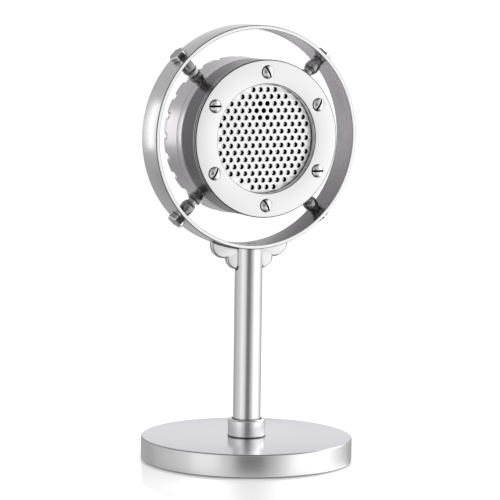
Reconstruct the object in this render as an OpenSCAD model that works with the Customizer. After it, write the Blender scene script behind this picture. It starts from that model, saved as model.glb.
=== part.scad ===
// Desktop microphone: a round head on four turned posts in a flat-band ring, on a stem
// that swivels in a heavy disc base. The front faces -Y, +Z is up, and the origin is the
// centre of the base's underside.

/* [Base] */
// Diameter of the base disc
base_d = 107; // [90:1:130]
// Height of the base disc's top above the table
base_top = 12; // [11.5:0.5:14]
// Gap that the rubber pad leaves under the disc
pad_lift = 0.5; // [0.3:0.1:1]
// Diameter of the collar on the base
collar_d = 19.1; // [18:0.1:24]
// Height of the collar above the base disc
collar_h = 9; // [8:0.5:14]

/* [Stem] */
// Diameter of the stem tube
stem_d = 14; // [14:0.5:16]
// Wall of the stem tube
stem_wall = 1.5; // [1:0.1:2]
// Diameter of the spindle that turns in the bush
spindle_d = 8; // [6:0.5:8]
// Radial running clearance of the spindle in the bush
swivel_gap = 0.05; // [0.02:0.01:0.1]

/* [Ring] */
// Height of the ring's centre above the table
ring_z = 164; // [150:1:180]
// Outside diameter of the ring
ring_d = 112; // [112:1:114]
// Thickness of the ring's band
ring_wall = 2; // [1.6:0.1:2.4]
// Depth of the ring's band, front to back
ring_depth = 17; // [14:0.5:20]
// Thickness of the gusset plates
gusset_t = 3.2; // [2.6:0.1:3.4]

/* [Head] */
// Radius of the face plate
face_r = 39.3; // [39:0.1:39.5]
// Radius of the opening in the face plate
mouth_r = 27.2; // [26.5:0.1:27.5]
// Depth of the recess down to the grille
recess = 3.9; // [3:0.1:4]
// Distance between neighbouring grille holes
hole_pitch = 4; // [3.8:0.1:4.2]
// Diameter of a grille hole
hole_d = 2.5; // [2:0.1:2.8]
// Number of lobes on the rear ring
lobes = 24; // [18:6:30]

/* [Hidden] */
$fn = 96;
eps = 0.01;

// Stem and swivel levels
bush_bottom = base_top - 3.5;
stem_bottom = base_top + collar_h - 2.5;
flange_t = 1;
collar_top = base_top + collar_h;
stem_r = stem_d / 2;
tube_bore_r = stem_r - stem_wall;
spindle_r = spindle_d / 2;
spindle_end = bush_bottom - 1.1;
washer_t = 1.4;
pad_top = 2;
pad_r = base_d / 2 - 4.5;

// Ring
ring_r = ring_d / 2;
ring_in = ring_r - ring_wall;
slot_drop = 67.4;
stud_r = 2.5;
spokes = [45, 135, 225, 315];
// The bolts step down to a thinner threaded tip just outside the head.
tip_r = 1.9;
shank_end = 39.6;

// Head levels along Y, from the front
face_y = -18.25;
plate_back = -15.05;
grille_y = face_y + recess;
grille_t = 3.2;
backing_t = 0.35;
lip_y = -8;
drum_r = 39;
band_front = -2;
band_back = 3.6;
band_r = 39.2;
spigot_r = 36;
spigot_in = 33;
lock_front = 4;
lock_back = 18;
lock_r = 38.9;
lobe_r = 39.7;
seal_y = 13;
board_y = 4.4;
board_t = 1.6;
screw_pcd = 66.3;
insert_r = 30;
pillar_r = 28.5;
pillar_spokes = [30, 150, 270];
socket_z = -14;
row_step = hole_pitch * sin(60);
cluster_z = 4 * row_step;

// Bayonet between the rear ring and the band
lug_angle = 30;
slot_angle = 34;
lock_turn = 50;

steel = [0.80, 0.80, 0.81];
polished = [0.62, 0.62, 0.64];
dark_steel = [0.42, 0.42, 0.44];
black = [0.07, 0.07, 0.08];
brass = [0.80, 0.62, 0.30];

// Turns the child's Z axis onto +Y at the head's centre. A child's [x, y] lands at
// world x and at a height of -y from the centre.
module about_y() {
    translate([0, 0, ring_z]) rotate([-90, 0, 0]) children();
}

// Turns the child's Z axis onto the spoke at angle a, from the ring's centre outwards.
module on_spoke(a) {
    translate([0, 0, ring_z]) rotate([0, -a, 0]) rotate([0, 90, 0]) children();
}

// A drum about the spoke frame's own Y axis, to fit an end to the ring or the head.
module cross_drum(r) {
    rotate([90, 0, 0]) cylinder(r = r, h = 4 * stud_r * 4, center = true, $fn = 180);
}

// A ring about Y with the section [inner radius, outer radius] from y0 to y1.
module band_about_y(r0, r1, y0, y1) {
    about_y() rotate_extrude($fn = 180) translate([r0, y0]) square([r1 - r0, y1 - y0]);
}

// ---------- base ----------

module base_disc() {
    edge = 0.9;
    r = base_d / 2;
    color(steel) difference() {
        rotate_extrude($fn = 180) {
            translate([0, pad_lift]) square([r - edge, base_top - pad_lift]);
            translate([r - edge - eps, pad_lift + edge / 2])
                square([edge + eps, base_top - pad_lift - 1.5 * edge]);
            translate([r - edge, base_top - edge]) circle(edge, $fn = 48);
            polygon([[r - edge, pad_lift], [r - edge / 2, pad_lift],
                     [r, pad_lift + edge / 2], [r - edge, pad_lift + edge / 2]]);
        }
        translate([0, 0, -1]) cylinder(r = pad_r + 0.2, h = pad_top + 1);
        cylinder(r = 14, h = bush_bottom);
        cylinder(r = 8, h = base_top + 1);
    }
}

module base_collar() {
    r = collar_d / 2;
    round_r = 1.3;
    color(steel) rotate_extrude() difference() {
        union() {
            translate([0, bush_bottom]) square([8, collar_h]);
            translate([0, base_top]) square([r, collar_h - round_r]);
            translate([0, base_top]) square([r - round_r, collar_h]);
            translate([r - round_r, collar_top - round_r]) circle(round_r, $fn = 48);
        }
        translate([0, bush_bottom - 1]) square([tube_bore_r, collar_h + 9]);
        translate([0, stem_bottom - flange_t]) square([stem_r + 0.5, collar_h]);
        polygon([[0, collar_top - 0.4], [stem_r + 0.5, collar_top - 0.4],
                 [stem_r + 1, collar_top + 0.1], [0, collar_top + 0.1]]);
    }
}

module swivel_bush() {
    color([0.9, 0.88, 0.8]) rotate_extrude() {
        translate([spindle_r + swivel_gap, bush_bottom])
            square([tube_bore_r - spindle_r - swivel_gap, stem_bottom - bush_bottom]);
        translate([spindle_r + swivel_gap, stem_bottom - flange_t])
            square([stem_r + 0.4 - spindle_r, flange_t]);
    }
}

module base_pad() {
    color(black) cylinder(r = pad_r, h = pad_top, $fn = 180);
}

// ---------- stem ----------

// The slot across the stem's top that the gussets stand in.
module gusset_slot() {
    bottom = ring_z - slot_drop;
    translate([0, 0, bottom + gusset_t / 2]) rotate([0, 90, 0])
        cylinder(r = gusset_t / 2, h = 2 * stem_d, center = true, $fn = 48);
    translate([-stem_d, -gusset_t / 2, bottom + gusset_t / 2])
        cube([2 * stem_d, gusset_t, 20]);
}

// The ring's outside, cut from whatever reaches up against it.
module ring_seat() {
    about_y() cylinder(r = ring_r, h = 2 * stem_d, center = true, $fn = 180);
}

module stem_tube() {
    color(steel) difference() {
        translate([0, 0, stem_bottom])
            cylinder(r = stem_r, h = ring_z - ring_r + 0.6 - stem_bottom);
        translate([0, 0, stem_bottom - 1])
            cylinder(r = tube_bore_r, h = ring_z);
        gusset_slot();
        ring_seat();
    }
}

module stem_spindle() {
    plug_h = 20;
    color(dark_steel) difference() {
        union() {
            translate([0, 0, spindle_end])
                cylinder(r = spindle_r, h = stem_bottom - spindle_end + 1);
            translate([0, 0, stem_bottom]) cylinder(r = tube_bore_r, h = plug_h);
        }
        translate([0, 0, spindle_end - 1]) cylinder(r = stud_r, h = 12);
    }
}

module stem_plug() {
    plug_bottom = ring_z - 80;
    color(dark_steel) difference() {
        translate([0, 0, plug_bottom])
            cylinder(r = tube_bore_r, h = ring_z - ring_r + 0.6 - plug_bottom);
        translate([0, 0, plug_bottom + 3]) cylinder(r = 2, h = 40);
        gusset_slot();
        ring_seat();
    }
}

module disc_spring() {
    color(dark_steel) rotate_extrude()
        polygon([[spindle_r + 0.1, spindle_end], [spindle_r + 0.1, spindle_end + 0.5],
                 [9.5, bush_bottom], [9.5, bush_bottom - 0.5]]);
}

module spindle_washer() {
    color(steel) translate([0, 0, spindle_end - washer_t]) difference() {
        cylinder(r = 9, h = washer_t);
        translate([0, 0, -1]) cylinder(r = stud_r, h = washer_t + 2);
    }
}

module spindle_bolt() {
    head_h = 2.6;
    top = spindle_end - washer_t;
    color(dark_steel) difference() {
        union() {
            translate([0, 0, top - head_h]) cylinder(r = 4.25, h = head_h);
            translate([0, 0, top - eps]) cylinder(r = stud_r, h = washer_t + 10);
        }
        translate([0, 0, top - head_h - 1]) cylinder(r = 1.73, h = 2.8, $fn = 6);
    }
}

// Half of the scalloped outline, below the ring: two lobes that step in to the stem.
// Inside the stem its foot is cut back to stand clear of the slot's round bottom.
module gusset_outline() {
    inner = 2.4;
    foot = gusset_t / 2 - slot_drop;
    difference() {
        union() {
            translate([14.3, -53.6]) circle(7.25);
            translate([7.1, -60.7]) circle(5.9);
            translate([inner, foot]) square([7.1 - inner, -50 - foot]);
            translate([inner, -60.85]) square([14.3 - inner, 10]);
            translate([14.3, -53.6]) square([7.25, 3]);
        }
        circle(ring_r, $fn = 180);
        translate([inner - 10, -80]) square([10, 80]);
        translate([inner - 1, foot - 10]) square([stem_r - 0.25 + 1 - inner, 10]);
    }
}

module gusset() {
    color(steel) translate([0, gusset_t / 2, ring_z]) rotate([90, 0, 0])
        linear_extrude(gusset_t) gusset_outline();
}

module gusset_right() {
    gusset();
}

module gusset_left() {
    mirror([1, 0, 0]) gusset();
}

// ---------- ring and posts ----------

module ring_screw() {
    sink = 1.7;
    color(dark_steel) on_spoke(-90) difference() {
        union() {
            translate([0, 0, ring_in]) cylinder(r1 = 3.7, r2 = 2, h = sink);
            translate([0, 0, ring_in + sink - eps]) cylinder(r = 2, h = 20);
        }
        translate([0, 0, ring_in - 1]) cylinder(r = 1.44, h = 2.4, $fn = 6);
    }
}

module ring_hoop() {
    c = 0.25;
    half = ring_depth / 2;
    color(steel) difference() {
        about_y() rotate_extrude($fn = 180)
            polygon([[ring_in + c, -half], [ring_r - c, -half], [ring_r, c - half],
                     [ring_r, half - c], [ring_r - c, half], [ring_in + c, half],
                     [ring_in, half - c], [ring_in, c - half]]);
        for (a = spokes)
            on_spoke(a) translate([0, 0, ring_in - 1]) cylinder(r = 2.6, h = 4, $fn = 48);
        on_spoke(-90) {
            translate([0, 0, ring_in - 1]) cylinder(r = 2.1, h = 4, $fn = 48);
            translate([0, 0, ring_in - 0.5]) cylinder(r1 = 4.2, r2 = 2, h = 2.2);
        }
    }
}

module hex_head(flats, h) {
    corner = flats / sqrt(3);
    intersection() {
        cylinder(r = corner, h = h, $fn = 6);
        rotate_extrude() polygon([[0, 0], [corner + 0.1, 0], [corner + 0.1, h - 0.45],
                                  [flats / 2 - 0.1, h], [0, h]]);
    }
}

module hex_bolts() {
    color(polished) for (a = spokes) on_spoke(a) {
        translate([0, 0, ring_r]) hex_head(8, 3.2);
        translate([0, 0, shank_end])
            cylinder(r = stud_r, h = ring_r - shank_end + eps, $fn = 48);
        translate([0, 0, spigot_in + 0.5])
            cylinder(r = tip_r, h = shank_end - spigot_in - 0.5 + eps, $fn = 48);
    }
}

// The turned barrel on the ring side of each post, drawn as [radius, distance from centre].
module ring_barrels() {
    color(polished) for (a = spokes) on_spoke(a) intersection() {
        rotate_extrude($fn = 48) difference() {
            polygon([[0, 46.4], [2.9, 46.4], [2.95, 46.7], [3.25, 46.9], [3.52, 47.3],
                     [3.62, 47.9], [3.6, 49], [3.45, 50.2], [3.2, 51.4], [2.95, 52.6],
                     [2.75, 53.5], [2.7, 54.6], [0, 54.6]]);
            translate([-1, 40]) square([1 + stud_r, 20]);
        }
        cross_drum(ring_in);
    }
}

// The turned cup on the head side, with a grooved rim.
module head_cups() {
    color(polished) for (a = spokes) on_spoke(a) difference() {
        rotate_extrude($fn = 48) difference() {
            polygon([[0, 44.4], [3.0, 44.4], [3.3, 44.15], [3.65, 44.0], [3.65, 43.55],
                     [3.4, 43.4], [3.4, 43.1], [3.65, 42.95], [3.6, 42.4], [3.35, 41.5],
                     [2.95, 40.6], [2.65, 39.8], [2.5, 39.2], [2.5, 38.6], [0, 38.6]]);
            translate([-1, 30]) square([1 + stud_r, 20]);
        }
        cross_drum(band_r);
    }
}

// ---------- head ----------

module mount_band() {
    lug = [spigot_r - 1, spigot_r + 1.2];
    color(steel) difference() {
        union() {
            about_y() rotate_extrude($fn = 180)
                polygon([[spigot_in, band_front - 4.5], [spigot_r, band_front - 4.5],
                         [spigot_r, band_front], [band_r - 0.5, band_front],
                         [band_r, band_front + 0.4], [band_r, band_back - 0.4],
                         [band_r - 0.4, band_back], [spigot_r, band_back],
                         [spigot_r, seal_y], [spigot_in, seal_y]]);
            for (k = [0:2]) about_y() rotate([0, 0, 120 * k + 75 - lug_angle / 2])
                rotate_extrude(angle = lug_angle, $fn = 180)
                    translate([lug[0], 6.6]) square([lug[1] - lug[0], 2.2]);
        }
        for (a = spokes) on_spoke(a) translate([0, 0, spigot_in - 1])
            cylinder(r = tip_r, h = 9, $fn = 48);
    }
}

module front_barrel() {
    seat = grille_y + grille_t + backing_t;
    color(dark_steel) difference() {
        about_y() rotate_extrude($fn = 180)
            polygon([[insert_r, plate_back], [drum_r, plate_back], [drum_r, band_front],
                     [spigot_r, band_front], [spigot_r, lip_y], [25, lip_y], [25, seat],
                     [insert_r, seat]]);
        about_y() {
            for (k = [0:5]) rotate([0, 0, 60 * k + 30]) translate([screw_pcd / 2, 0, -17])
                cylinder(r = 1.5, h = 7.5, $fn = 24);
            for (a = pillar_spokes) rotate([0, 0, -a]) translate([pillar_r, 0, lip_y - 2.5])
                cylinder(r = 1.25, h = 4, $fn = 24);
        }
    }
}

module face_plate() {
    e = 0.6;
    m = 0.35;
    color(steel) difference() {
        about_y() rotate_extrude($fn = 180) {
            translate([mouth_r, face_y + e]) square([face_r - mouth_r, plate_back - face_y - e]);
            translate([mouth_r + m, face_y]) square([face_r - mouth_r - m - e, 2 * e]);
            translate([face_r - e, face_y + e]) circle(e, $fn = 36);
            polygon([[mouth_r, face_y + m], [mouth_r + m, face_y],
                     [mouth_r + m, face_y + e + eps], [mouth_r, face_y + e + eps]]);
        }
        about_y() for (k = [0:5]) rotate([0, 0, 60 * k + 30])
            translate([screw_pcd / 2, 0, face_y - 1])
                cylinder(r = 1.7, h = plate_back - face_y + 2, $fn = 24);
    }
}

// Slot directions of the six screws, as they happen to stand, counted from the upper right.
slot_turn = [60, 120, 0, 60, 120, 0];

module face_screws() {
    head_r = 3;
    head_h = 1.7;
    dome_r = 4.6;
    slot_w = 0.9;
    color(polished) about_y() for (k = [0:5]) {
        a = 30 + 60 * k;
        translate([screw_pcd / 2 * cos(a), -screw_pcd / 2 * sin(a), face_y]) difference() {
            union() {
                rotate([180, 0, 0]) intersection() {
                    cylinder(r = head_r, h = head_h, $fn = 48);
                    translate([0, 0, head_h - dome_r]) sphere(dome_r, $fn = 64);
                }
                translate([0, 0, -eps]) cylinder(r = 1.5, h = 8.5, $fn = 24);
            }
            rotate([0, 0, -slot_turn[k]])
                translate([-head_r - 1, -slot_w / 2, -head_h - 1])
                    cube([2 * head_r + 2, slot_w, 1.9]);
        }
    }
}

module face_gasket() {
    color(black) band_about_y(mouth_r + 0.5, insert_r, plate_back, grille_y);
}

// True for every lattice point inside the drilled circle.
function drilled(x, z) = norm([x, z]) <= 6.3 * hole_pitch;

module grille_disc() {
    color(steel) about_y() difference() {
        translate([0, 0, grille_y]) cylinder(r = insert_r, h = grille_t, $fn = 180);
        for (row = [-7:7]) for (i = [-7:7]) {
            x = (i + (row % 2 == 0 ? 0 : 0.5)) * hole_pitch;
            z = row * row_step;
            if (drilled(x, z)) translate([x, z, grille_y - 1])
                cylinder(d = hole_d, h = grille_t + 2, $fn = 24);
        }
    }
}

// Blind disc behind the grille. Sound passes only at the hole cluster above the centre.
module grille_backing() {
    y0 = grille_y + grille_t;
    color(steel) about_y() difference() {
        translate([0, 0, y0]) cylinder(r = insert_r, h = backing_t, $fn = 180);
        translate([0, -cluster_z, y0 - 1]) cylinder(r = 5.4, h = backing_t + 2);
    }
}

// ---------- inside the head ----------

backing_back = grille_y + grille_t + backing_t;
capsule_back = backing_back + 6.8;

module at_capsule() {
    about_y() translate([0, -cluster_z, 0]) children();
}

module capsule() {
    color(steel) at_capsule() translate([0, 0, backing_back + 0.2])
        cylinder(r = 4.85, h = capsule_back - backing_back - 0.2);
}

module capsule_boot() {
    color(black) at_capsule() difference() {
        translate([0, 0, backing_back])
            cylinder(r = 6.2, h = capsule_back + 0.8 - backing_back);
        translate([0, 0, backing_back - 1])
            cylinder(r = 4.85, h = capsule_back + 1 - backing_back);
        for (x = [-1.27, 1.27]) translate([x, 0, capsule_back - 1])
            cylinder(r = 0.5, h = 3, $fn = 24);
    }
}

module capsule_holder() {
    color(black) at_capsule() difference() {
        union() {
            translate([0, 0, backing_back]) cylinder(r = 8, h = 5.5);
            translate([0, 0, backing_back]) cylinder(r = 10, h = 1.2);
        }
        translate([0, 0, backing_back - 1]) cylinder(r = 6.2, h = 9);
    }
}

module capsule_leads() {
    color(brass) at_capsule() for (x = [-1.27, 1.27]) translate([x, 0, capsule_back])
        cylinder(r = 0.5, h = board_y + board_t + 0.6 - capsule_back, $fn = 24);
}

module at_pillars() {
    about_y() for (a = pillar_spokes) rotate([0, 0, -a]) translate([pillar_r, 0, 0])
        children();
}

module board_pillars() {
    color(brass) at_pillars() difference() {
        union() {
            translate([0, 0, lip_y]) cylinder(r = 2.7, h = board_y - lip_y, $fn = 6);
            translate([0, 0, lip_y - 2.5]) cylinder(r = 1.25, h = 3, $fn = 24);
        }
        translate([0, 0, board_y - 6]) cylinder(r = 1.25, h = 7, $fn = 24);
    }
}

module circuit_board() {
    color([0.05, 0.3, 0.15]) difference() {
        about_y() translate([0, 0, board_y]) cylinder(r = 31.5, h = board_t);
        at_pillars() translate([0, 0, board_y - 1]) cylinder(r = 1.4, h = 4, $fn = 24);
        at_capsule() for (x = [-1.27, 1.27]) translate([x, 0, board_y - 1])
            cylinder(r = 0.5, h = 4, $fn = 24);
    }
}

module board_screws() {
    color(steel) at_pillars() translate([0, 0, board_y + board_t]) difference() {
        union() {
            cylinder(r = 2.3, h = 1.6, $fn = 48);
            translate([0, 0, -6]) cylinder(r = 1.25, h = 6.5, $fn = 24);
        }
        translate([-3, -0.35, 0.9]) cube([6, 0.7, 2]);
    }
}

// Soldered parts on the back of the board, placed at x and height z from the centre.
module on_board(x, z) {
    about_y() translate([x, -z, board_y + board_t]) children();
}

module audio_chip() {
    color(black) on_board(-9, 3) translate([-3.5, -3.5, 0]) cube([7, 7, 1.4]);
}

module capacitors() {
    color([0.1, 0.12, 0.2]) for (z = [-2, 6]) on_board(11, z) cylinder(r = 2.5, h = 6.5, $fn = 48);
}

module crystal() {
    color(steel) on_board(-10, -8) translate([-5, -2, 0]) cube([10, 4, 3.4]);
}

// Lead socket standing on the board, its mouth just below the rear plate's face.
socket_w = 7.7;
socket_h = 3.9;
socket_mouth = 17;
rear_face = 17.4;

module at_socket() {
    about_y() translate([0, -socket_z, 0]) children();
}

module centred_block(w, h, y0, y1) {
    translate([-w / 2, -h / 2, y0]) cube([w, h, y1 - y0]);
}

module socket_shell() {
    color(steel) at_socket() difference() {
        centred_block(socket_w, socket_h, board_y + board_t, socket_mouth);
        centred_block(socket_w - 0.8, socket_h - 0.8, board_y + board_t + 3, socket_mouth + 1);
    }
}

module socket_insert() {
    color(black) at_socket()
        centred_block(5, 1.2, board_y + board_t + 3, socket_mouth - 1);
}

cover_r = spigot_r - 0.3;

module rear_seal() {
    color(black) band_about_y(spigot_in, cover_r, seal_y, seal_y + 0.8);
}

module rear_plate() {
    boss_r = 30.7;
    color(steel) difference() {
        about_y() rotate_extrude($fn = 180)
            polygon([[0, seal_y + 0.8], [cover_r, seal_y + 0.8], [cover_r, 15.4],
                     [boss_r, 15.4], [boss_r, rear_face - 0.3], [boss_r - 0.3, rear_face],
                     [0, rear_face]]);
        at_socket() centred_block(socket_w + 0.6, socket_h + 0.6, seal_y, rear_face + 1);
    }
}

// One stretch of the bayonet groove, from angle a0 over the angle da, from y0 to y1.
module bayonet_cut(a0, da, y0, y1) {
    rotate([0, 0, a0]) rotate_extrude(angle = da, $fn = 180)
        translate([spigot_r, y0]) square([1.6, y1 - y0]);
}

module lock_ring() {
    bore = spigot_r + 0.08;
    notch_r = 2;
    notch_front = lock_back - 2.6;
    color(steel) difference() {
        about_y() rotate_extrude($fn = 180)
            polygon([[bore, lock_front], [lock_r - 0.3, lock_front],
                     [lock_r, lock_front + 0.3], [lobe_r, lock_back - 3],
                     [lobe_r, lock_back - 0.5], [lobe_r - 0.5, lock_back],
                     [31.5, lock_back], [31.1, lock_back - 0.4], [31.1, 15.5],
                     [bore, 15.5]]);
        about_y() for (k = [0:lobes - 1]) rotate([0, 0, k * 360 / lobes])
            translate([lobe_r + 0.6, 0, notch_front]) {
                cylinder(r = notch_r, h = 5, $fn = 36);
                sphere(notch_r, $fn = 36);
            }
        about_y() for (k = [0:2]) {
            entry = 120 * k + 75 - lock_turn - slot_angle / 2;
            bayonet_cut(entry, slot_angle, lock_front - 1, 9.2);
            bayonet_cut(entry, slot_angle + lock_turn, 6.2, 9.2);
        }
    }
}

base_disc();
base_collar();
swivel_bush();
base_pad();
stem_tube();
stem_spindle();
stem_plug();
disc_spring();
spindle_washer();
spindle_bolt();
gusset_left();
gusset_right();
ring_screw();
ring_hoop();
hex_bolts();
ring_barrels();
head_cups();
mount_band();
front_barrel();
face_plate();
face_screws();
face_gasket();
grille_disc();
grille_backing();
capsule();
capsule_boot();
capsule_holder();
capsule_leads();
board_pillars();
circuit_board();
board_screws();
audio_chip();
capacitors();
crystal();
socket_shell();
socket_insert();
rear_seal();
rear_plate();
lock_ring();
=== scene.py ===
"""Desktop microphone: looks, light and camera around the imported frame."""

import math

import bmesh
import bpy
from mathutils import Matrix, Vector


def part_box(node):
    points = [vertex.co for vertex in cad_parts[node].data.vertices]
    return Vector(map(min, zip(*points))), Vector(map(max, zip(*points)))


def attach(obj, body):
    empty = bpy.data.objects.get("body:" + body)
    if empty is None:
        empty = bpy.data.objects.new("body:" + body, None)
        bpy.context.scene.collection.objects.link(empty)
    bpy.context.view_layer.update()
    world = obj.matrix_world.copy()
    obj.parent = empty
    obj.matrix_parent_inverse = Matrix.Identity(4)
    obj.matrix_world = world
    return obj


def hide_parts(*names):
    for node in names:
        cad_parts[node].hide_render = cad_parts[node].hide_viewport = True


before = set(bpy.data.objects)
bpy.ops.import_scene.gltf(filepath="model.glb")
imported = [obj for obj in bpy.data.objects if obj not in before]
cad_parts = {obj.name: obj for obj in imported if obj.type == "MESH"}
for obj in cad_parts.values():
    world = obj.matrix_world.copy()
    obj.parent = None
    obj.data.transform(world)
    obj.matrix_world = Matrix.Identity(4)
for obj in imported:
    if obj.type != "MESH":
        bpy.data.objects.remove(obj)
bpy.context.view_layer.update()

MM = 0.001
TAU = 2 * math.pi

# Height of the head's centre.
RING_Z = 164 * MM

# Dimensions in millimetres.
RING_INNER = 54
RING_OUTER = 56
RING_HALF = 8.5
SPOKES = (45, 135, 225, 315)
BASE_R = 53.5
COLLAR_SEAT = 3.5
MOUTH_R = 27.2
INSERT_R = 30
BARREL_R = 39
BAND_R = 39.2
SPIGOT_R = 36
SCREW_CIRCLE = 66.3
SLOT_TURNS = (60, 120, 0, 60, 120, 0)
PITCH = 4.0
ROW_STEP = PITCH * math.sin(math.radians(60))
CLUSTER_Z = 4 * ROW_STEP
DRILLED_R = 6.3 * PITCH
HOLE_R = 1.25
GUSSET_HALF = 1.6


# ---------- camera ----------

def make_camera():
    """A long lens in front of the microphone, to its left and a little above its top."""
    data = bpy.data.cameras.new("camera")
    cam = bpy.data.objects.new("camera", data)
    bpy.context.scene.collection.objects.link(cam)
    place = Vector((-0.5968, -1.1693, 0.2506))
    target = Vector((0.0008, -0.0004, 0.1065))
    roll = math.radians(0.76)
    ahead = (target - place).normalized()
    flat_right = ahead.cross(Vector((0, 0, 1))).normalized()
    flat_up = flat_right.cross(ahead)
    right = math.cos(roll) * flat_right + math.sin(roll) * flat_up
    up = math.cos(roll) * flat_up - math.sin(roll) * flat_right
    turn = Matrix((right, up, -ahead)).transposed().to_4x4()
    cam.matrix_world = Matrix.Translation(place) @ turn
    data.sensor_width = 36
    data.lens = 188.6
    data.shift_x = -0.0011
    data.shift_y = 0.001
    data.clip_start = 0.05
    data.clip_end = 100
    bpy.context.scene.camera = cam


# ---------- node helpers ----------

class Nodes:
    """Shorthand for building one node tree."""

    def __init__(self, tree):
        self.tree = tree
        tree.nodes.clear()

    def add(self, kind, **inputs):
        node = self.tree.nodes.new(kind)
        for key, value in inputs.items():
            self.set(node.inputs[key.replace("_", " ")], value)
        return node

    def set(self, socket, value):
        if isinstance(value, bpy.types.NodeSocket):
            self.tree.links.new(value, socket)
        else:
            socket.default_value = value

    def math(self, operation, *values):
        node = self.tree.nodes.new("ShaderNodeMath")
        node.operation = operation
        for socket, value in zip(node.inputs, values):
            self.set(socket, value)
        return node.outputs[0]

    def vector(self, x, y, z):
        node = self.add("ShaderNodeCombineXYZ", X=x, Y=y, Z=z)
        return node.outputs[0]

    def noise(self, vector, scale, detail, rough):
        node = self.add("ShaderNodeTexNoise", Vector=vector, Scale=scale, Detail=detail, Roughness=rough)
        return node.outputs["Fac"]

    def span(self, value, low, high, to_low=0.0, to_high=1.0, smooth=False):
        node = self.add("ShaderNodeMapRange")
        node.interpolation_type = "SMOOTHSTEP" if smooth else "LINEAR"
        for socket, v in zip(node.inputs, (value, low, high, to_low, to_high)):
            self.set(socket, v)
        return node.outputs[0]

    def mix(self, factor, a, b):
        node = self.tree.nodes.new("ShaderNodeMix")
        node.data_type = "RGBA"
        for socket, value in zip((node.inputs[0], node.inputs[6], node.inputs[7]), (factor, a, b)):
            self.set(socket, value)
        return node.outputs[2]

    def ramp(self, factor, stops):
        node = self.add("ShaderNodeValToRGB", Fac=factor)
        ramp = node.color_ramp
        ramp.interpolation = "EASE"
        while len(ramp.elements) < len(stops):
            ramp.elements.new(0.5)
        for element, (place, level) in zip(ramp.elements, stops):
            element.position = place
            element.color = (level, level, level, 1)
        return node.outputs["Color"]


def grey(level, violet=0.0, mauve=0.0):
    """A near-neutral colour that leans to blue-violet or to mauve."""
    red = level * (1 - 0.3 * violet + 0.33 * mauve)
    green = level * (1 - 0.6 * violet - 0.67 * mauve)
    blue = level * (1 + 0.3 * violet + 0.33 * mauve)
    return (red, green, blue, 1)


# ---------- mesh helpers ----------

def link_mesh(name, form, body, material, smooth_angle=35):
    """Turns a bmesh into a finished piece with smooth curves and crisp corners."""
    bmesh.ops.remove_doubles(form, verts=form.verts, dist=1e-7)
    bmesh.ops.recalc_face_normals(form, faces=form.faces)
    mesh = bpy.data.meshes.new(name)
    form.to_mesh(mesh)
    form.free()
    for polygon in mesh.polygons:
        polygon.use_smooth = True
    mesh.set_sharp_from_angle(angle=math.radians(smooth_angle))
    piece = bpy.data.objects.new(name, mesh)
    bpy.context.scene.collection.objects.link(piece)
    mesh.materials.append(material)
    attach(piece, body)
    return piece


def fillet(points, radii, steps):
    """Rounds the corners of a closed outline. radii has one radius for each point, 0 for a sharp corner."""
    result = []
    count = len(points)
    for i, (point, radius) in enumerate(zip(points, radii)):
        here = Vector(point)
        if radius == 0:
            result.append(here)
            continue
        back = (Vector(points[i - 1]) - here).normalized()
        ahead = (Vector(points[(i + 1) % count]) - here).normalized()
        half = back.angle(ahead) / 2
        reach = radius / math.tan(half)
        centre = here + (back + ahead).normalized() * (radius / math.sin(half))
        start = here + back * reach - centre
        end = here + ahead * reach - centre
        for k in range(steps + 1):
            way = start.slerp(end, k / steps).normalized() * radius
            result.append(centre + way)
    return result


def lathe(form, outline, frame_matrix, segments):
    """Turns a closed outline of (radius, height) in millimetres round the frame's Z axis."""
    rings = []
    for radius, height in outline:
        if radius < 1e-6:
            rings.append([form.verts.new(frame_matrix @ Vector((0, 0, height * MM)))])
            continue
        ring = []
        for k in range(segments):
            a = TAU * k / segments
            spot = Vector((radius * MM * math.cos(a), radius * MM * math.sin(a), height * MM))
            ring.append(form.verts.new(frame_matrix @ spot))
        rings.append(ring)
    for i, ring in enumerate(rings):
        other = rings[(i + 1) % len(rings)]
        if len(ring) == 1 and len(other) == 1:
            continue
        for k in range(segments):
            j = (k + 1) % segments
            if len(ring) == 1:
                form.faces.new((ring[0], other[k], other[j]))
            elif len(other) == 1:
                form.faces.new((ring[k], ring[j], other[0]))
            else:
                form.faces.new((ring[k], ring[j], other[j], other[k]))


def cut_out(piece, form, shade_wall):
    """Takes the closed form away from the piece. The cut faces get the given material, which paints shade
    inside the cut.
    """
    mesh = bpy.data.meshes.new("cutter")
    bmesh.ops.recalc_face_normals(form, faces=form.faces)
    form.to_mesh(mesh)
    form.free()
    mesh.materials.append(shade_wall)
    cutter = bpy.data.objects.new("cutter", mesh)
    bpy.context.scene.collection.objects.link(cutter)
    step = piece.modifiers.new("cut", "BOOLEAN")
    step.operation = "DIFFERENCE"
    step.solver = "EXACT"
    step.material_mode = "TRANSFER"
    step.object = cutter
    graph = bpy.context.evaluated_depsgraph_get()
    result = bpy.data.meshes.new_from_object(piece.evaluated_get(graph))
    piece.modifiers.clear()
    piece.data = result
    result.set_sharp_from_angle(angle=math.radians(35))
    bpy.data.objects.remove(cutter)
    bpy.data.meshes.remove(mesh)


def paint_rim_shade(piece, material, axis, rims):
    """Paints shade along rims: the faces near each of them get a darker material.

    Each entry of rims is (radius, height, reach) in millimetres about the axis.
    """
    piece.data.materials.append(material)
    index = len(piece.data.materials) - 1
    local = axis.inverted()
    for polygon in piece.data.polygons:
        x, y, z = (local @ polygon.center) / MM
        for radius, height, reach in rims:
            if math.hypot(math.hypot(x, y) - radius, z - height) < reach:
                polygon.material_index = index


def about_y():
    """Frame at the head's centre whose Z axis points along +Y."""
    return Matrix.Translation((0, 0, RING_Z)) @ Matrix.Rotation(-math.pi / 2, 4, "X")


def on_spoke(angle):
    """Frame at the head's centre whose Z axis points outwards along one post."""
    turn = Matrix.Rotation(-math.radians(angle), 4, "Y") @ Matrix.Rotation(math.pi / 2, 4, "Y")
    return Matrix.Translation((0, 0, RING_Z)) @ turn


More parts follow.
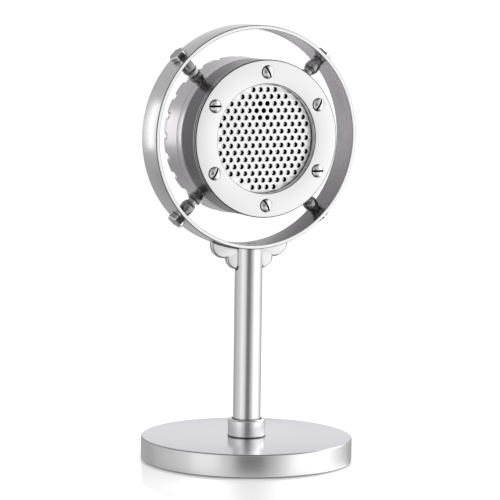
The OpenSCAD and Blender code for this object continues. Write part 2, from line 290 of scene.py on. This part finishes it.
def turned(name, body, material, points, radii, matrices, replaced, segments, steps=5, *, slot):
    """A turned piece that stands in for CAD nodes. radii rounds the outline's corners."""
    form = bmesh.new()
    outline = fillet(points, radii, steps)
    for matrix in matrices:
        lathe(form, outline, matrix, segments)
    piece = link_mesh(name, form, body, material)
    for node in replaced:
        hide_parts(node)
    return piece


# ---------- light ----------

def make_world():
    """A studio cyclorama: soft boxes and flags as bands round the horizon."""
    world = bpy.data.worlds.new("studio")
    bpy.context.scene.world = world
    world.use_nodes = True
    n = Nodes(world.node_tree)
    split = n.add("ShaderNodeSeparateXYZ", Vector=n.add("ShaderNodeTexCoord").outputs["Generated"])
    x, y, z = split.outputs
    azimuth = n.math("ARCTAN2", x, n.math("MULTIPLY", y, -1.0))
    place = n.span(azimuth, -math.pi, math.pi)

    def bands(stops):
        """Levels by azimuth in degrees, 0 in front of the microphone."""
        return n.ramp(place, [((angle + 180) / 360, level) for angle, level in stops])

    def sine(degrees):
        return math.sin(math.radians(degrees))

    def even(level):
        return (level, level, level, 1)

    level = bands([
        (-180, 0.44), (-157, 0.42), (-137, 0.54), (-117, 0.62), (-97, 0.72), (-80, 0.98), (-62, 0.95),
        (-46, 0.66), (-31, 0.20), (-14, 0.20), (2, 0.50), (16, 0.85), (28, 1.25), (50, 1.3), (70, 1.25),
        (88, 0.95), (105, 0.66), (124, 0.44), (140, 0.34), (160, 0.34), (180, 0.44)])
    rise = bands([
        (-180, 0.46), (-157, 0.50), (-137, 0.54), (-117, 0.60), (-97, 0.70), (-80, 0.95), (-62, 0.95),
        (-46, 0.62), (-30, 0.20), (-14, 0.20), (2, 0.50), (20, 0.95), (40, 1.2), (70, 1.2), (88, 0.95),
        (105, 0.66), (124, 0.55), (138, 0.72), (153, 0.84), (168, 0.72), (180, 0.46)])
    above = bands([
        (-180, 0.50), (-120, 0.45), (-70, 0.75), (-20, 0.35), (20, 0.60), (60, 1.20), (90, 2.5),
        (100, 5.0), (116, 5.0), (130, 0.75), (150, 0.62), (180, 0.50)])
    below = bands([
        (-180, 0.42), (-150, 0.30), (-110, 0.45), (-60, 0.70), (-15, 0.60), (40, 1.0), (95, 2.0),
        (105, 4.0), (120, 4.0), (134, 0.75), (150, 0.62), (180, 0.42)])
    up = n.span(z, sine(14), sine(27), smooth=True)
    down = n.span(z, -sine(12), -sine(24), smooth=True)
    lift = n.span(z, -sine(3), sine(0.5), smooth=True)
    seen = n.mix(down, n.mix(up, n.mix(lift, level, rise), above), below)
    # The ceiling and the floor of the studio are dim, and dimmest straight overhead and underneath.
    steep = n.span(n.math("ABSOLUTE", z), 0.62, 0.80, smooth=True)
    seen = n.mix(steep, seen, even(0.40))
    steepest = n.span(n.math("ABSOLUTE", z), 0.84, 0.92, smooth=True)
    seen = n.mix(steepest, seen, even(0.08))
    # Matt surfaces get one even fill, and the camera sees a plain white ground.
    ray = n.add("ShaderNodeLightPath")
    seen = n.mix(ray.outputs["Is Diffuse Ray"], seen, even(0.78))
    seen = n.mix(ray.outputs["Is Camera Ray"], seen, even(1.03))
    back = n.add("ShaderNodeBackground", Color=seen, Strength=1.0)
    out = n.add("ShaderNodeOutputWorld")
    n.set(out.inputs["Surface"], back.outputs[0])


def soft_box(name, place, aim, width, height, power):
    """A rectangular lamp in metres and watts that faces aim and isn't seen by the camera."""
    data = bpy.data.lights.new(name, "AREA")
    data.shape = "RECTANGLE"
    data.size = width
    data.size_y = height
    data.energy = power
    lamp = bpy.data.objects.new(name, data)
    bpy.context.scene.collection.objects.link(lamp)
    lamp.location = place
    lamp.rotation_euler = (Vector(aim) - Vector(place)).to_track_quat("-Z", "Y").to_euler()
    lamp.visible_camera = False
    return lamp


def make_lights(banded):
    """banded lists the pieces that carry the bright band on their left sides."""
    strip = soft_box("strip_behind", (-0.150, 0.180, 0.180), (-0.05, 0, RING_Z),
                     width=0.040, height=0.105, power=0.016)
    lit = bpy.data.collections.new("lit_by_strip")
    for piece in banded:
        lit.objects.link(piece)
    strip.light_linking.receiver_collection = lit
    top = soft_box("overhead", (0.1, -0.2, 1.4), (0, 0, 0.1), width=1.2, height=1.2, power=6.0)
    top.visible_glossy = False


def make_floor():
    """A plain white ground, half matt and half glossy, which stays out of the metal's reflections."""
    mesh = bpy.data.meshes.new("floor")
    form = bmesh.new()
    bmesh.ops.create_grid(form, x_segments=2, y_segments=2, size=6)
    form.to_mesh(mesh)
    form.free()
    floor = bpy.data.objects.new("floor", mesh)
    bpy.context.scene.collection.objects.link(floor)
    floor.visible_glossy = False
    material = bpy.data.materials.new("floor_white")
    material.use_nodes = True
    n = Nodes(material.node_tree)
    matt = n.add("ShaderNodeBsdfDiffuse", Color=(0.9, 0.9, 0.9, 1))
    glow = n.add("ShaderNodeEmission", Color=(1, 1, 1, 1), Strength=0.50)
    body = n.add("ShaderNodeAddShader")
    n.set(body.inputs[0], matt.outputs[0])
    n.set(body.inputs[1], glow.outputs[0])
    gloss = n.add("ShaderNodeBsdfGlossy", Color=(1, 1, 1, 1), Roughness=0.04)
    both = n.add("ShaderNodeMixShader", Fac=0.5)
    n.set(both.inputs[1], body.outputs[0])
    n.set(both.inputs[2], gloss.outputs[0])
    out = n.add("ShaderNodeOutputMaterial")
    n.set(out.inputs["Surface"], both.outputs[0])
    mesh.materials.append(material)


# ---------- materials ----------

def start_material(name):
    """A new material with its output wired, and the object's own coordinates."""
    material = bpy.data.materials.new(name)
    material.use_nodes = True
    n = Nodes(material.node_tree)
    where = n.add("ShaderNodeTexCoord").outputs["Object"]
    shader = n.add("ShaderNodeBsdfPrincipled")
    out = n.add("ShaderNodeOutputMaterial")
    n.set(out.inputs["Surface"], shader.outputs[0])
    return material, n, where, shader


def grain_vector(n, where, kind):
    """Coordinates in which even noise looks like the tool marks of one way of finishing."""
    stretch = 0.02
    split = n.add("ShaderNodeSeparateXYZ", Vector=where)
    x, y, z = split.outputs
    if kind == "blast":
        return n.vector(x, y, z)
    if kind == "along_z":
        return n.vector(x, y, n.math("MULTIPLY", z, stretch))
    if kind == "round_z":
        across = n.math("SQRT", n.math("ADD", n.math("MULTIPLY", x, x), n.math("MULTIPLY", y, y)))
        return n.vector(across, z, n.math("MULTIPLY", x, stretch))
    rise = n.math("SUBTRACT", z, RING_Z)
    across = n.math("SQRT", n.math("ADD", n.math("MULTIPLY", x, x), n.math("MULTIPLY", rise, rise)))
    return n.vector(across, y, n.math("MULTIPLY", x, stretch))


def spotted(colour, amount):
    """A darker and a lighter shade of a colour, for noise to mix."""
    low = tuple(c * (1 - amount) for c in colour[:3]) + (1,)
    high = tuple(min(c * (1 + amount), 1) for c in colour[:3]) + (1,)
    return low, high


def metal(name, colour, rough, kind, size=0.25, spread=0.08, bump=0.15,
          round_edges=0.0004, shade=0.8, painted_height_shade=None):
    """Bare or plated metal.

    size is the width of a tool mark in millimetres, spread the range of the roughness,
    round_edges the radius of a softened edge in metres, and shade how dark the painted shade in crevices is.
    The last argument is (low height, high height, level at the low end), with the heights in metres: painted
    shade that darkens the colour towards the low end.
    """
    mottling, crevice_shade_reach, relief_depth = 0.03, 0.0016, 0.00004
    material, n, where, shader = start_material(name)
    vector = grain_vector(n, where, kind)
    fine = n.noise(vector, 1000 / size, 2.0, 0.6)
    broad = n.noise(where, 55.0, 3.0, 0.55)
    low, high = spotted(colour, mottling)
    tone_and_shade = n.mix(n.math("ADD", n.math("MULTIPLY", fine, 0.5), n.math("MULTIPLY", broad, 0.5)), low, high)
    # Painted shade: ambient occlusion darkens the colour in crevices, corners and joints between parts.
    if shade:
        crevice_shade = n.add("ShaderNodeAmbientOcclusion", Distance=crevice_shade_reach)
        crevice_shade.samples = 8
        unshaded_part = n.span(crevice_shade.outputs["AO"], 0.35, 0.85, 1 - shade, 1.0)
        tone_and_shade = n.mix(unshaded_part, (0, 0, 0, 1), tone_and_shade)
    # Painted shade: the colour darkens towards the lower end of the height range.
    if painted_height_shade:
        height = n.add("ShaderNodeSeparateXYZ", Vector=where).outputs["Z"]
        tone_and_shade = n.mix(n.span(height, painted_height_shade[0], painted_height_shade[1], painted_height_shade[2], 1.0, smooth=True), (0, 0, 0, 1), tone_and_shade)
    n.set(shader.inputs["Base Color"], tone_and_shade)
    shader.inputs["Metallic"].default_value = 1.0
    wear_and_sheen = n.math("ADD", n.math("MULTIPLY", fine, 0.7), n.math("MULTIPLY", broad, 0.3))
    n.set(shader.inputs["Roughness"], n.span(wear_and_sheen, 0.3, 0.7, rough - spread / 2, rough + spread / 2))
    relief = n.add("ShaderNodeBump", Strength=bump, Distance=relief_depth, Height=fine)
    if round_edges:
        edge = n.add("ShaderNodeBevel", Radius=round_edges)
        edge.samples = 4
        n.set(relief.inputs["Normal"], edge.outputs[0])
    n.set(shader.inputs["Normal"], relief.outputs[0])
    return material


def plain(name, colour, rough, size=0.4, bump=0.25, contrast=0.15, glow=0.0, shine=0.5):
    """Rubber, plastic and other moulded or coated surfaces."""
    material, n, where, shader = start_material(name)
    fine = n.noise(where, 1000 / size, 3.0, 0.6)
    low, high = spotted(colour, contrast)
    n.set(shader.inputs["Base Color"], n.mix(fine, low, high))
    shader.inputs["Metallic"].default_value = 0.0
    shader.inputs["Specular IOR Level"].default_value = shine
    # glow is painted light: the surface gives off light though it is no lamp.
    if glow:
        shader.inputs["Emission Color"].default_value = colour
        shader.inputs["Emission Strength"].default_value = glow
    n.set(shader.inputs["Roughness"], n.span(fine, 0.3, 0.7, rough - 0.06, rough + 0.06))
    relief = n.add("ShaderNodeBump", Strength=bump, Distance=0.00005, Height=fine)
    n.set(shader.inputs["Normal"], relief.outputs[0])
    return material


# ---------- pieces ----------

def make_ring(material, inside, rim_shade, hole):
    """The flat band with softly rolled edges, the bolt holes and the countersunk screw hole."""
    corners = [(RING_INNER, -RING_HALF), (RING_OUTER, -RING_HALF),
               (RING_OUTER, RING_HALF), (RING_INNER, RING_HALF)]
    rolled, bolt_hole, screw_hole, screw_head = 0.45, 2.6, 2.1, 4.2
    inner, outer = RING_INNER - 1, RING_OUTER + 1
    band = turned("ring_band", "stand", material, corners, [rolled] * 4, [about_y()], ["ring_hoop"],
                  288, slot="satin_steel")
    form = bmesh.new()
    for angle in SPOKES:
        lathe(form, [(0, inner), (bolt_hole, inner), (bolt_hole, outer), (0, outer)], on_spoke(angle), 32)
    sink = RING_INNER - 0.5
    lathe(form, [(0, sink), (screw_head, sink), (screw_hole, sink + screw_head - screw_hole),
                 (screw_hole, outer), (0, outer)], on_spoke(-90), 48)
    # The bolt holes and the screw hole get painted shade on their walls.
    cut_out(band, form, hole)
    # The inner face gets the copy of the metal with painted shade towards the bottom.
    band.data.materials.append(inside)
    for polygon in band.data.polygons:
        x, z = polygon.center.x, polygon.center.z - RING_Z
        if math.hypot(x, z) < (RING_INNER + 0.04) * MM:
            polygon.material_index = len(band.data.materials) - 1
    # Painted shade along the band's four rolled edges.
    reaches = (0.24, 0.28, 0.22, 0.22)
    paint_rim_shade(band, rim_shade, about_y(), [(*corner, reach) for corner, reach in zip(corners, reaches)])
    return band


def make_base(material, top_painted_tint, collar_material, rim_shade):
    """The thick disc with its rolled upper edge, and the turned collar seated in it."""
    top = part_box("base_disc")[1].z / MM
    seat = top - COLLAR_SEAT
    bore, well, well_top, pad_r, underside = 8, 14, 2, 49.2, 0.5
    disc = turned("base_turning", "base", material,
                  [(bore, seat), (well, seat), (well, well_top), (pad_r, well_top), (pad_r, underside),
                   (BASE_R, underside), (BASE_R, top), (bore, top)],
                  [0, 0, 0, 0, 0.2, 0.5, 0.9, 0], [Matrix()], ["base_disc"], 256, slot="satin_steel")
    # Painted reflection: the upward faces get a copy of the disc's metal with a violet cast.
    disc.data.materials.append(top_painted_tint)
    for polygon in disc.data.polygons:
        if polygon.normal.z > 0.999:
            polygon.material_index = 1
    # Painted shade along the top edge and in the gap under the disc.
    paint_rim_shade(disc, rim_shade, Matrix(), [(BASE_R, top, 0.40), (BASE_R, underside, 0.26)])
    collar_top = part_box("base_collar")[1].z / MM
    spindle, relief, outside, mouth, step, depth = 5.5, 9.25, 9.55, 7.5, 0.35, 3.5
    turned("collar_turning", "base", collar_material,
           [(spindle, seat), (bore, seat), (bore, top), (relief, top), (relief, top + step),
            (outside, top + step), (outside, collar_top), (mouth, collar_top),
            (mouth, collar_top - depth), (spindle, collar_top - depth)],
           [0, 0, 0, 0.1, 0, 0.15, 1.15, 0.35, 0, 0], [Matrix()], ["base_collar"], 128, slot="satin_steel")


def make_head(face, dark, band, rim_shade, black_shade):
    """The turned parts of the head, from the face plate back to the band that carries the posts."""
    low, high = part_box("face_plate")
    edge, front, rear = high.x / MM, low.y / MM, high.y / MM
    groove, half_groove, groove_depth = (front + rear) / 2 + 0.1, 0.35, 0.3
    groove_front, groove_rear, groove_floor = groove - half_groove, groove + half_groove, edge - groove_depth
    plate = turned("face_turning", "stand", face,
                   [(MOUTH_R, rear), (MOUTH_R, front), (edge, front), (edge, groove_front),
                    (groove_floor, groove_front), (groove_floor, groove_rear),
                    (edge, groove_rear), (edge, rear)],
                   [0.2, 0.45, 0.5, 0.05, 0, 0, 0.05, 0.25], [about_y()], ["face_plate"],
                   256, slot="head_alloy")
    form = bmesh.new()
    sink, clear = 3.3, 1.7
    for k in range(6):
        lathe(form, [(0, -1), (sink, -1), (sink, 0.5), (clear, 0.5), (clear, 4), (0, 4)], screw_frame(k), 48)
    # The countersinks get painted shade.
    cut_out(plate, form, black_shade)
    groove_wall = edge - groove_depth / 2
    # Painted shade along the plate's edges, the mouth and the groove.
    paint_rim_shade(plate, rim_shade, about_y(), [(edge, front, 0.6), (edge, rear, 0.3), (MOUTH_R, front, 0.3),
                                        (groove_wall, groove_front, 0.16), (groove_floor, groove, 0.36),
                                        (groove_wall, groove_rear, 0.16)])
    band_front, lip_y, seat_y, lip_r, chamfer = -2, -8, -10.8, 25, 0.25
    # The barrel's metal carries painted shade.
    turned("barrel_turning", "stand", dark,
           [(INSERT_R, rear), (BARREL_R - chamfer, rear), (BARREL_R, rear + chamfer),
            (BARREL_R, band_front - chamfer), (BARREL_R - chamfer, band_front), (SPIGOT_R, band_front),
            (SPIGOT_R, lip_y), (lip_r, lip_y), (lip_r, seat_y), (INSERT_R, seat_y)],
           [0] * 10, [about_y()], ["front_barrel"], 256, slot="barrel_alloy")
    inner, start, band_back, end = 33, -6.5, 3.6, 13
    return turned("band_turning", "stand", band,
                  [(inner, start), (SPIGOT_R, start), (SPIGOT_R, band_front), (BAND_R, band_front),
                   (BAND_R, band_back), (SPIGOT_R, band_back), (SPIGOT_R, end), (inner, end)],
                  [0, 0, 0, 0.45, 0.45, 0, 0, 0], [about_y()], ["mount_band"], 256, slot="head_alloy")


def screw_frame(k):
    """Frame on the face plate under one screw head, with X along the screw's slot and Z into the head."""
    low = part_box("face_plate")[0]
    a = math.radians(30 + 60 * k)
    across = SCREW_CIRCLE / 2 * MM
    place = Matrix.Translation((across * math.cos(a), -across * math.sin(a), low.y))
    return about_y() @ place @ Matrix.Rotation(-math.radians(SLOT_TURNS[k]), 4, "Z")


def make_screws(material, black_shade):
    """Six domed screws with slots, each standing in its countersink."""
    radius, height, dome, shank, length, sunk = 3.0, 1.7, 4.4, 1.5, 8.5, 0.5
    rise = dome - height
    outline = [(0, length), (shank, length), (shank, sunk), (radius, sunk)]
    widest = math.asin(radius / dome)
    for k in range(9):
        a = widest * (1 - k / 8)
        outline.append((dome * math.sin(a), rise - dome * math.cos(a)))
    screws = turned("face_screw_heads", "stand", material, outline, [0] * len(outline),
                    [screw_frame(k) for k in range(6)], ["face_screws"], 48, slot="plated_bolt")
    form = bmesh.new()
    slot = Matrix.Diagonal((8 * MM, 1.0 * MM, 2.4 * MM, 1))
    head_top = Matrix.Translation((0, 0, -height * MM))
    for k in range(6):
        bmesh.ops.create_cube(form, size=1, matrix=screw_frame(k) @ head_top @ slot)
    # The slots get painted shade.
    cut_out(screws, form, black_shade)


def make_bolts(flank, end, edge, front):
    """Hexagon bolts whose chamfered edges carry a painted highlight and whose flats facing the front carry
    painted shade. The heads on the right are turned by half a step.
    """
    flats, height, highlight_chamfer = 8, 3.2, 0.48
    corner = flats / math.sqrt(3)
    form = bmesh.new()
    for angle, start in zip(SPOKES, (0.5, 0, 0, 0.5)):
        spoke = on_spoke(angle)
        lower, upper = [], []
        for k in range(6):
            x, y = corner * math.cos(TAU * (k + start) / 6), corner * math.sin(TAU * (k + start) / 6)
            lower.append(form.verts.new(spoke @ (Vector((x, y, RING_OUTER - 0.1)) * MM)))
            upper.append(form.verts.new(spoke @ (Vector((x, y, RING_OUTER + height)) * MM)))
        form.faces.new(lower)
        form.faces.new(upper).material_index = 1
        for k in range(6):
            form.faces.new((lower[k], lower[(k + 1) % 6], upper[(k + 1) % 6], upper[k]))
    bmesh.ops.recalc_face_normals(form, faces=form.faces)
    # Painted shade: the flats that face the front get the dark material.
    for face in form.faces:
        if face.normal.y < -0.9:
            face.material_index = 3
    # Painted highlight: the chamfers get the bright material.
    wear_and_sheen = [e for e in form.edges if all(f.calc_area() > 0 for f in e.link_faces)]
    bmesh.ops.bevel(form, geom=wear_and_sheen, offset=highlight_chamfer * MM, segments=1, affect="EDGES", material=2)
    shank, thread, head_end, step, tip = 2.5, 1.9, 55.5, 39.6, 33.5
    for angle in SPOKES:
        lathe(form, [(0, head_end), (shank, head_end), (shank, step), (thread, step),
                     (thread, tip), (0, tip)], on_spoke(angle), 32)
    piece = link_mesh("hexagon_bolts", form, "stand", flank, 20)
    for material in (end, edge, front):
        piece.data.materials.append(material)
    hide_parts("hex_bolts")


def make_posts(material):
    """Turned barrels on the ring and turned cups on the head, with grooved rims.

    Each outline is in (radius, distance from the head's centre).
    """
    spokes = [on_spoke(angle) for angle in SPOKES]
    barrel = [(2.5, 54.02), (2.75, 53.95), (2.8, 53.2), (3.02, 52.4), (3.3, 51.3), (3.52, 50.1), (3.62, 49.0),
              (3.62, 48.1), (3.5, 47.5), (3.3, 47.25), (3.05, 47.15), (3.05, 46.95), (3.2, 46.85),
              (3.2, 46.55), (3.0, 46.4), (2.5, 46.4)]
    turned("post_barrels", "stand", material, barrel,
           [0, 0.1, 0.6, 2, 2, 2, 1, 0.5, 0.3, 0.2, 0.06, 0.06, 0.1, 0.1, 0.1, 0], spokes,
           ["ring_barrels"], 64, 4, slot="turned_chrome")
    cup = [(2.5, 44.4), (3.1, 44.4), (3.45, 44.2), (3.65, 44.0), (3.65, 43.6), (3.42, 43.4), (3.42, 43.15),
           (3.65, 42.95), (3.55, 42.2), (3.2, 41.2), (2.8, 40.2), (2.62, 39.4), (2.75, 39.05), (2.5, 39.0)]
    turned("post_cups", "stand", material, cup,
           [0, 0.15, 0.1, 0.12, 0.12, 0.06, 0.06, 0.12, 1.5, 2, 2, 0.4, 0.1, 0], spokes,
           ["head_cups"], 64, 4, slot="turned_chrome")


def curve_plate(name, outlines, half, roll, matrix):
    """A flat plate cut to closed outlines, with rolled edges. Outlines are lists of (x, y) in millimetres."""
    data = bpy.data.curves.new(name, "CURVE")
    data.dimensions = "2D"
    data.fill_mode = "BOTH"
    data.extrude = (half - roll) * MM
    data.bevel_depth = roll * MM
    data.bevel_resolution = 2
    data.offset = -roll * MM
    for outline in outlines:
        line = data.splines.new("POLY")
        line.points.add(len(outline) - 1)
        for point, (x, y) in zip(line.points, outline):
            point.co = (x * MM, y * MM, 0, 1)
        line.use_cyclic_u = True
    source = bpy.data.objects.new(name + "_curve", data)
    bpy.context.scene.collection.objects.link(source)
    mesh = bpy.data.meshes.new_from_object(source.evaluated_get(bpy.context.evaluated_depsgraph_get()))
    form = bmesh.new()
    form.from_mesh(mesh)
    form.transform(matrix)
    bpy.data.objects.remove(source)
    bpy.data.curves.remove(data)
    bpy.data.meshes.remove(mesh)
    return form


def circle_points(x, y, radius, count):
    return [(x + radius * math.cos(TAU * k / count), y + radius * math.sin(TAU * k / count))
            for k in range(count)]


def make_grille(sheet, shade_wall):
    """Punched sheet: the holes' edges are rolled, and their walls get a dark painted shade."""
    outlines = [circle_points(0, 0, INSERT_R, 180)]
    for row in range(-7, 8):
        for i in range(-7, 8):
            x = (i + (0.5 if row % 2 else 0)) * PITCH
            y = row * ROW_STEP
            if math.hypot(x, y) <= DRILLED_R:
                outlines.append(circle_points(x, y, HOLE_R, 28))
    low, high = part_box("grille_disc")
    middle = (low.y + high.y) / 2
    half = (high.y - low.y) / 2 / MM
    form = curve_plate("grille", outlines, half, 0.1, Matrix.Translation((0, middle, 0)) @ about_y())
    piece = link_mesh("grille_sheet", form, "stand", sheet)
    piece.data.materials.append(shade_wall)
    for polygon in piece.data.polygons:
        centre = polygon.center
        inside = math.hypot(centre.x, centre.z - RING_Z) < (INSERT_R - 1) * MM
        # Painted shade on the walls of the holes.
        if inside and abs(polygon.normal.y) < 0.3:
            polygon.material_index = 1
    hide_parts("grille_disc")


def make_backing(sheet, black_shade):
    """The pale blind disc behind the grille, with the opening in front of the capsule."""
    low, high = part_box("grille_backing")
    front, rear = low.y / MM, high.y / MM
    # The disc's material glows: painted light in the bottoms of the blind holes.
    disc = turned("backing_disc", "stand", sheet,
                  [(0, front), (INSERT_R, front), (INSERT_R, rear), (0, rear)], [0] * 4,
                  [about_y()], ["grille_backing"], 96, slot="barrel_alloy")
    form = bmesh.new()
    radius, shift = 5.6, 0.5
    opening = about_y() @ Matrix.Translation((shift * MM, -CLUSTER_Z * MM, 0))
    lathe(form, [(0, front - 1), (radius, front - 1), (radius, rear + 1), (0, rear + 1)], opening, 48)
    # The opening's wall gets painted shade.
    cut_out(disc, form, black_shade)


def make_gussets(material, rim_shade):
    """Two scalloped plates with rolled edges, one each side of the stem."""
    def arc(cx, cy, radius, start, end, count):
        return [(cx + radius * math.cos(math.radians(start + (end - start) * k / count)),
                 cy + radius * math.sin(math.radians(start + (end - start) * k / count)))
                for k in range(count + 1)]

    # Each lobe is (x, y, radius) about the head's centre, and inner_x is the edge inside the stem.
    upper, lower = (14.3, -53.6, 7.25), (7.1, -60.7, 5.9)
    inner_x, stem_x, slot_y, foot_y = 2.4, 6.7, -65.7, -66.58
    rolled = 0.85
    gap = math.dist(upper[:2], lower[:2])
    line = math.degrees(math.atan2(upper[1] - lower[1], upper[0] - lower[0]))
    along = (gap ** 2 + lower[2] ** 2 - upper[2] ** 2) / (2 * gap)
    cusp_low = line - math.degrees(math.acos(along / lower[2]))
    cusp_high = line + 180 + math.degrees(math.acos((gap - along) / upper[2]))
    reach = upper[0] + upper[2]
    side = math.degrees(math.asin(reach / RING_OUTER))
    inner = math.degrees(math.asin(inner_x / RING_OUTER))
    outline = [(inner_x, slot_y), (stem_x, slot_y), (stem_x, foot_y)]
    outline += arc(*lower, -90, cusp_low, 24)
    outline += arc(*upper, cusp_high - 360, 0, 36)[1:]
    outline += arc(0, 0, RING_OUTER, -90 + side, -90 + inner, 24)
    for name, sign in (("gusset_right", 1), ("gusset_left", -1)):
        shape = [(sign * x, -y) for x, y in outline]
        form = curve_plate(name, [shape], GUSSET_HALF, rolled, about_y())
        piece = link_mesh(name + "_plate", form, "stand", material, 20)
        # Painted shade: the rolled edges beside each flat face get the dark material.
        piece.data.materials.append(rim_shade)
        for polygon in piece.data.polygons:
            if 0.9 < abs(polygon.normal.y) < 0.99:
                polygon.material_index = 1
        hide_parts(name)


def give(node, material):
    """Gives one CAD node its only material."""
    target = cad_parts[node]
    target.data.materials.clear()
    target.data.materials.append(material)


def dress():
    """Makes every material and visible piece. Returns the pieces that the strip light reaches."""
    sheet = metal("grille_metal", grey(0.93), 0.32, "blast", size=0.35, spread=0.1, bump=0.2,
                  round_edges=0, shade=0)
    # Painted shade: near black for the walls of holes, slots and countersinks.
    shade_wall = plain("hole_painted_shade", (0.003, 0.003, 0.003, 1), 0.9, contrast=0.2, shine=0.02)
    # Painted shade: the dark lines along rims, edges and grooves.
    rim_shade = metal("rim_painted_shade", grey(0.10), 0.35, "blast", size=0.3, round_edges=0, shade=0)
    # Painted shade: a copy of the band's metal that darkens towards the bottom of the hoop's inside.
    inside = metal("band_inside", grey(0.80, 0, 0.045), 0.26, "round_y", size=0.18, spread=0.10, bump=0.12,
                   painted_height_shade=(0.106, 0.190, 0.26))
    # Painted reflection: the disc's metal with a violet cast, for its upward faces.
    disc_top_painted_tint = metal("satin_disc_top_painted_tint", grey(0.845, 0.07), 0.22, "round_z", size=0.20, spread=0.07, bump=0.08)
    flank = metal("bolt_flank", grey(0.45), 0.14, "blast", size=0.4, spread=0.06, bump=0.08, round_edges=0)
    # Painted shade: the dark material for the bolt flats that face the front.
    shaded_flank = metal("bolt_flank_painted_shade", grey(0.05), 0.2, "blast", size=0.4, spread=0.06, round_edges=0)
    end = metal("bolt_end", grey(0.52), 0.22, "blast", size=0.4, spread=0.06, bump=0.08, round_edges=0)
    # Painted highlight: the bright material for the bolts' chamfers.
    wear_and_sheen = metal("bolt_edge_painted_highlight", grey(0.95), 0.20, "blast", size=0.4, spread=0.06, bump=0.05,
                 round_edges=0, shade=0)
    ring = metal("satin_band", grey(0.84), 0.26, "round_y", size=0.18, spread=0.10, bump=0.12)
    face = metal("satin_face", grey(0.87), 0.34, "blast", size=0.35, spread=0.10, bump=0.22)
    base = metal("satin_disc", grey(0.84), 0.22, "round_z", size=0.20, spread=0.07, bump=0.08)
    # Painted shade: the dark material for the gussets' rolled edges.
    plate_edge_shade = metal("plate_edge_painted_shade", grey(0.22), 0.35, "blast", size=0.3, round_edges=0, shade=0)
    plate = metal("satin_plate", grey(0.80), 0.30, "blast", size=0.3, spread=0.08, bump=0.15)
    collar = metal("turned_collar", grey(0.84), 0.20, "round_z", size=0.15, spread=0.06, bump=0.10)
    tube = metal("polished_tube", grey(0.84), 0.14, "along_z", size=0.20, spread=0.06, bump=0.05)
    # Painted shade: the drum's satin metal made dark for the ring's shadow on the barrel.
    barrel = metal("barrel_painted_shade", grey(0.24, 0, 0.05), 0.28, "round_y", size=0.18, spread=0.08, bump=0.12)
    drum = metal("satin_drum", grey(0.80, 0, 0.035), 0.30, "round_y", size=0.18, spread=0.10, bump=0.12)
    back = metal("satin_rear", grey(0.82), 0.34, "round_y", size=0.22, spread=0.10, bump=0.15)
    post = metal("black_chrome", grey(0.32), 0.05, "blast", size=0.5, spread=0.05, bump=0.05,
                 round_edges=0.00015)
    bolt = metal("bright_bolt", grey(0.88), 0.09, "blast", size=0.4, spread=0.06, bump=0.08,
                 round_edges=0.0002)
    # Painted light: the pale disc glows so that the bottoms of the blind grille holes look lit.
    pale = plain("pale_disc_painted_glow", (0.92, 0.92, 0.92, 1), 0.5, size=0.3, bump=0.1, contrast=0.02, glow=0.55)
    steel = metal("machined_steel", grey(0.38), 0.35, "blast", size=0.3, bump=0.2)
    brass = metal("machined_brass", (0.80, 0.58, 0.26, 1), 0.28, "blast", size=0.3, bump=0.15)
    rubber = plain("black_rubber", (0.02, 0.02, 0.02, 1), 0.62)
    plastic = plain("black_plastic", (0.015, 0.015, 0.015, 1), 0.45)
    bush = plain("bush_plastic", (0.70, 0.68, 0.60, 1), 0.45)
    board = plain("solder_mask", (0.01, 0.08, 0.04, 1), 0.30)
    giving = {
        "ring_hoop": ring, "gusset_left": ring, "gusset_right": ring, "base_disc": base,
        "base_collar": collar, "stem_tube": tube, "front_barrel": barrel, "mount_band": drum,
        "lock_ring": drum, "rear_plate": back, "face_plate": face, "grille_disc": sheet,
        "grille_backing": pale, "ring_barrels": post, "head_cups": post, "hex_bolts": bolt,
        "face_screws": bolt, "ring_screw": steel, "board_screws": bolt, "socket_shell": bolt,
        "crystal": bolt, "stem_spindle": steel, "stem_plug": steel, "disc_spring": steel,
        "spindle_washer": steel, "spindle_bolt": steel, "board_pillars": brass,
        "capsule_leads": brass, "base_pad": rubber, "face_gasket": rubber, "capsule_boot": rubber,
        "rear_seal": rubber, "capsule": plastic, "capsule_holder": plastic, "socket_insert": plastic,
        "capacitors": plastic, "audio_chip": plastic, "swivel_bush": bush, "circuit_board": board,
    }
    for node, material in giving.items():
        give(node, material)
    band_piece = make_ring(ring, inside, rim_shade, shade_wall)
    make_base(base, disc_top_painted_tint, collar, rim_shade)
    drum_piece = make_head(face, barrel, drum, rim_shade, shade_wall)
    make_screws(bolt, shade_wall)
    make_bolts(flank, end, wear_and_sheen, shaded_flank)
    make_posts(post)
    make_grille(sheet, shade_wall)
    make_backing(pale, shade_wall)
    make_gussets(plate, plate_edge_shade)
    return [band_piece, drum_piece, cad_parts["lock_ring"]]


make_camera()
make_world()
make_floor()
make_lights(dress())

scene = bpy.context.scene
scene.view_settings.view_transform = "Standard"
scene.view_settings.look = "None"
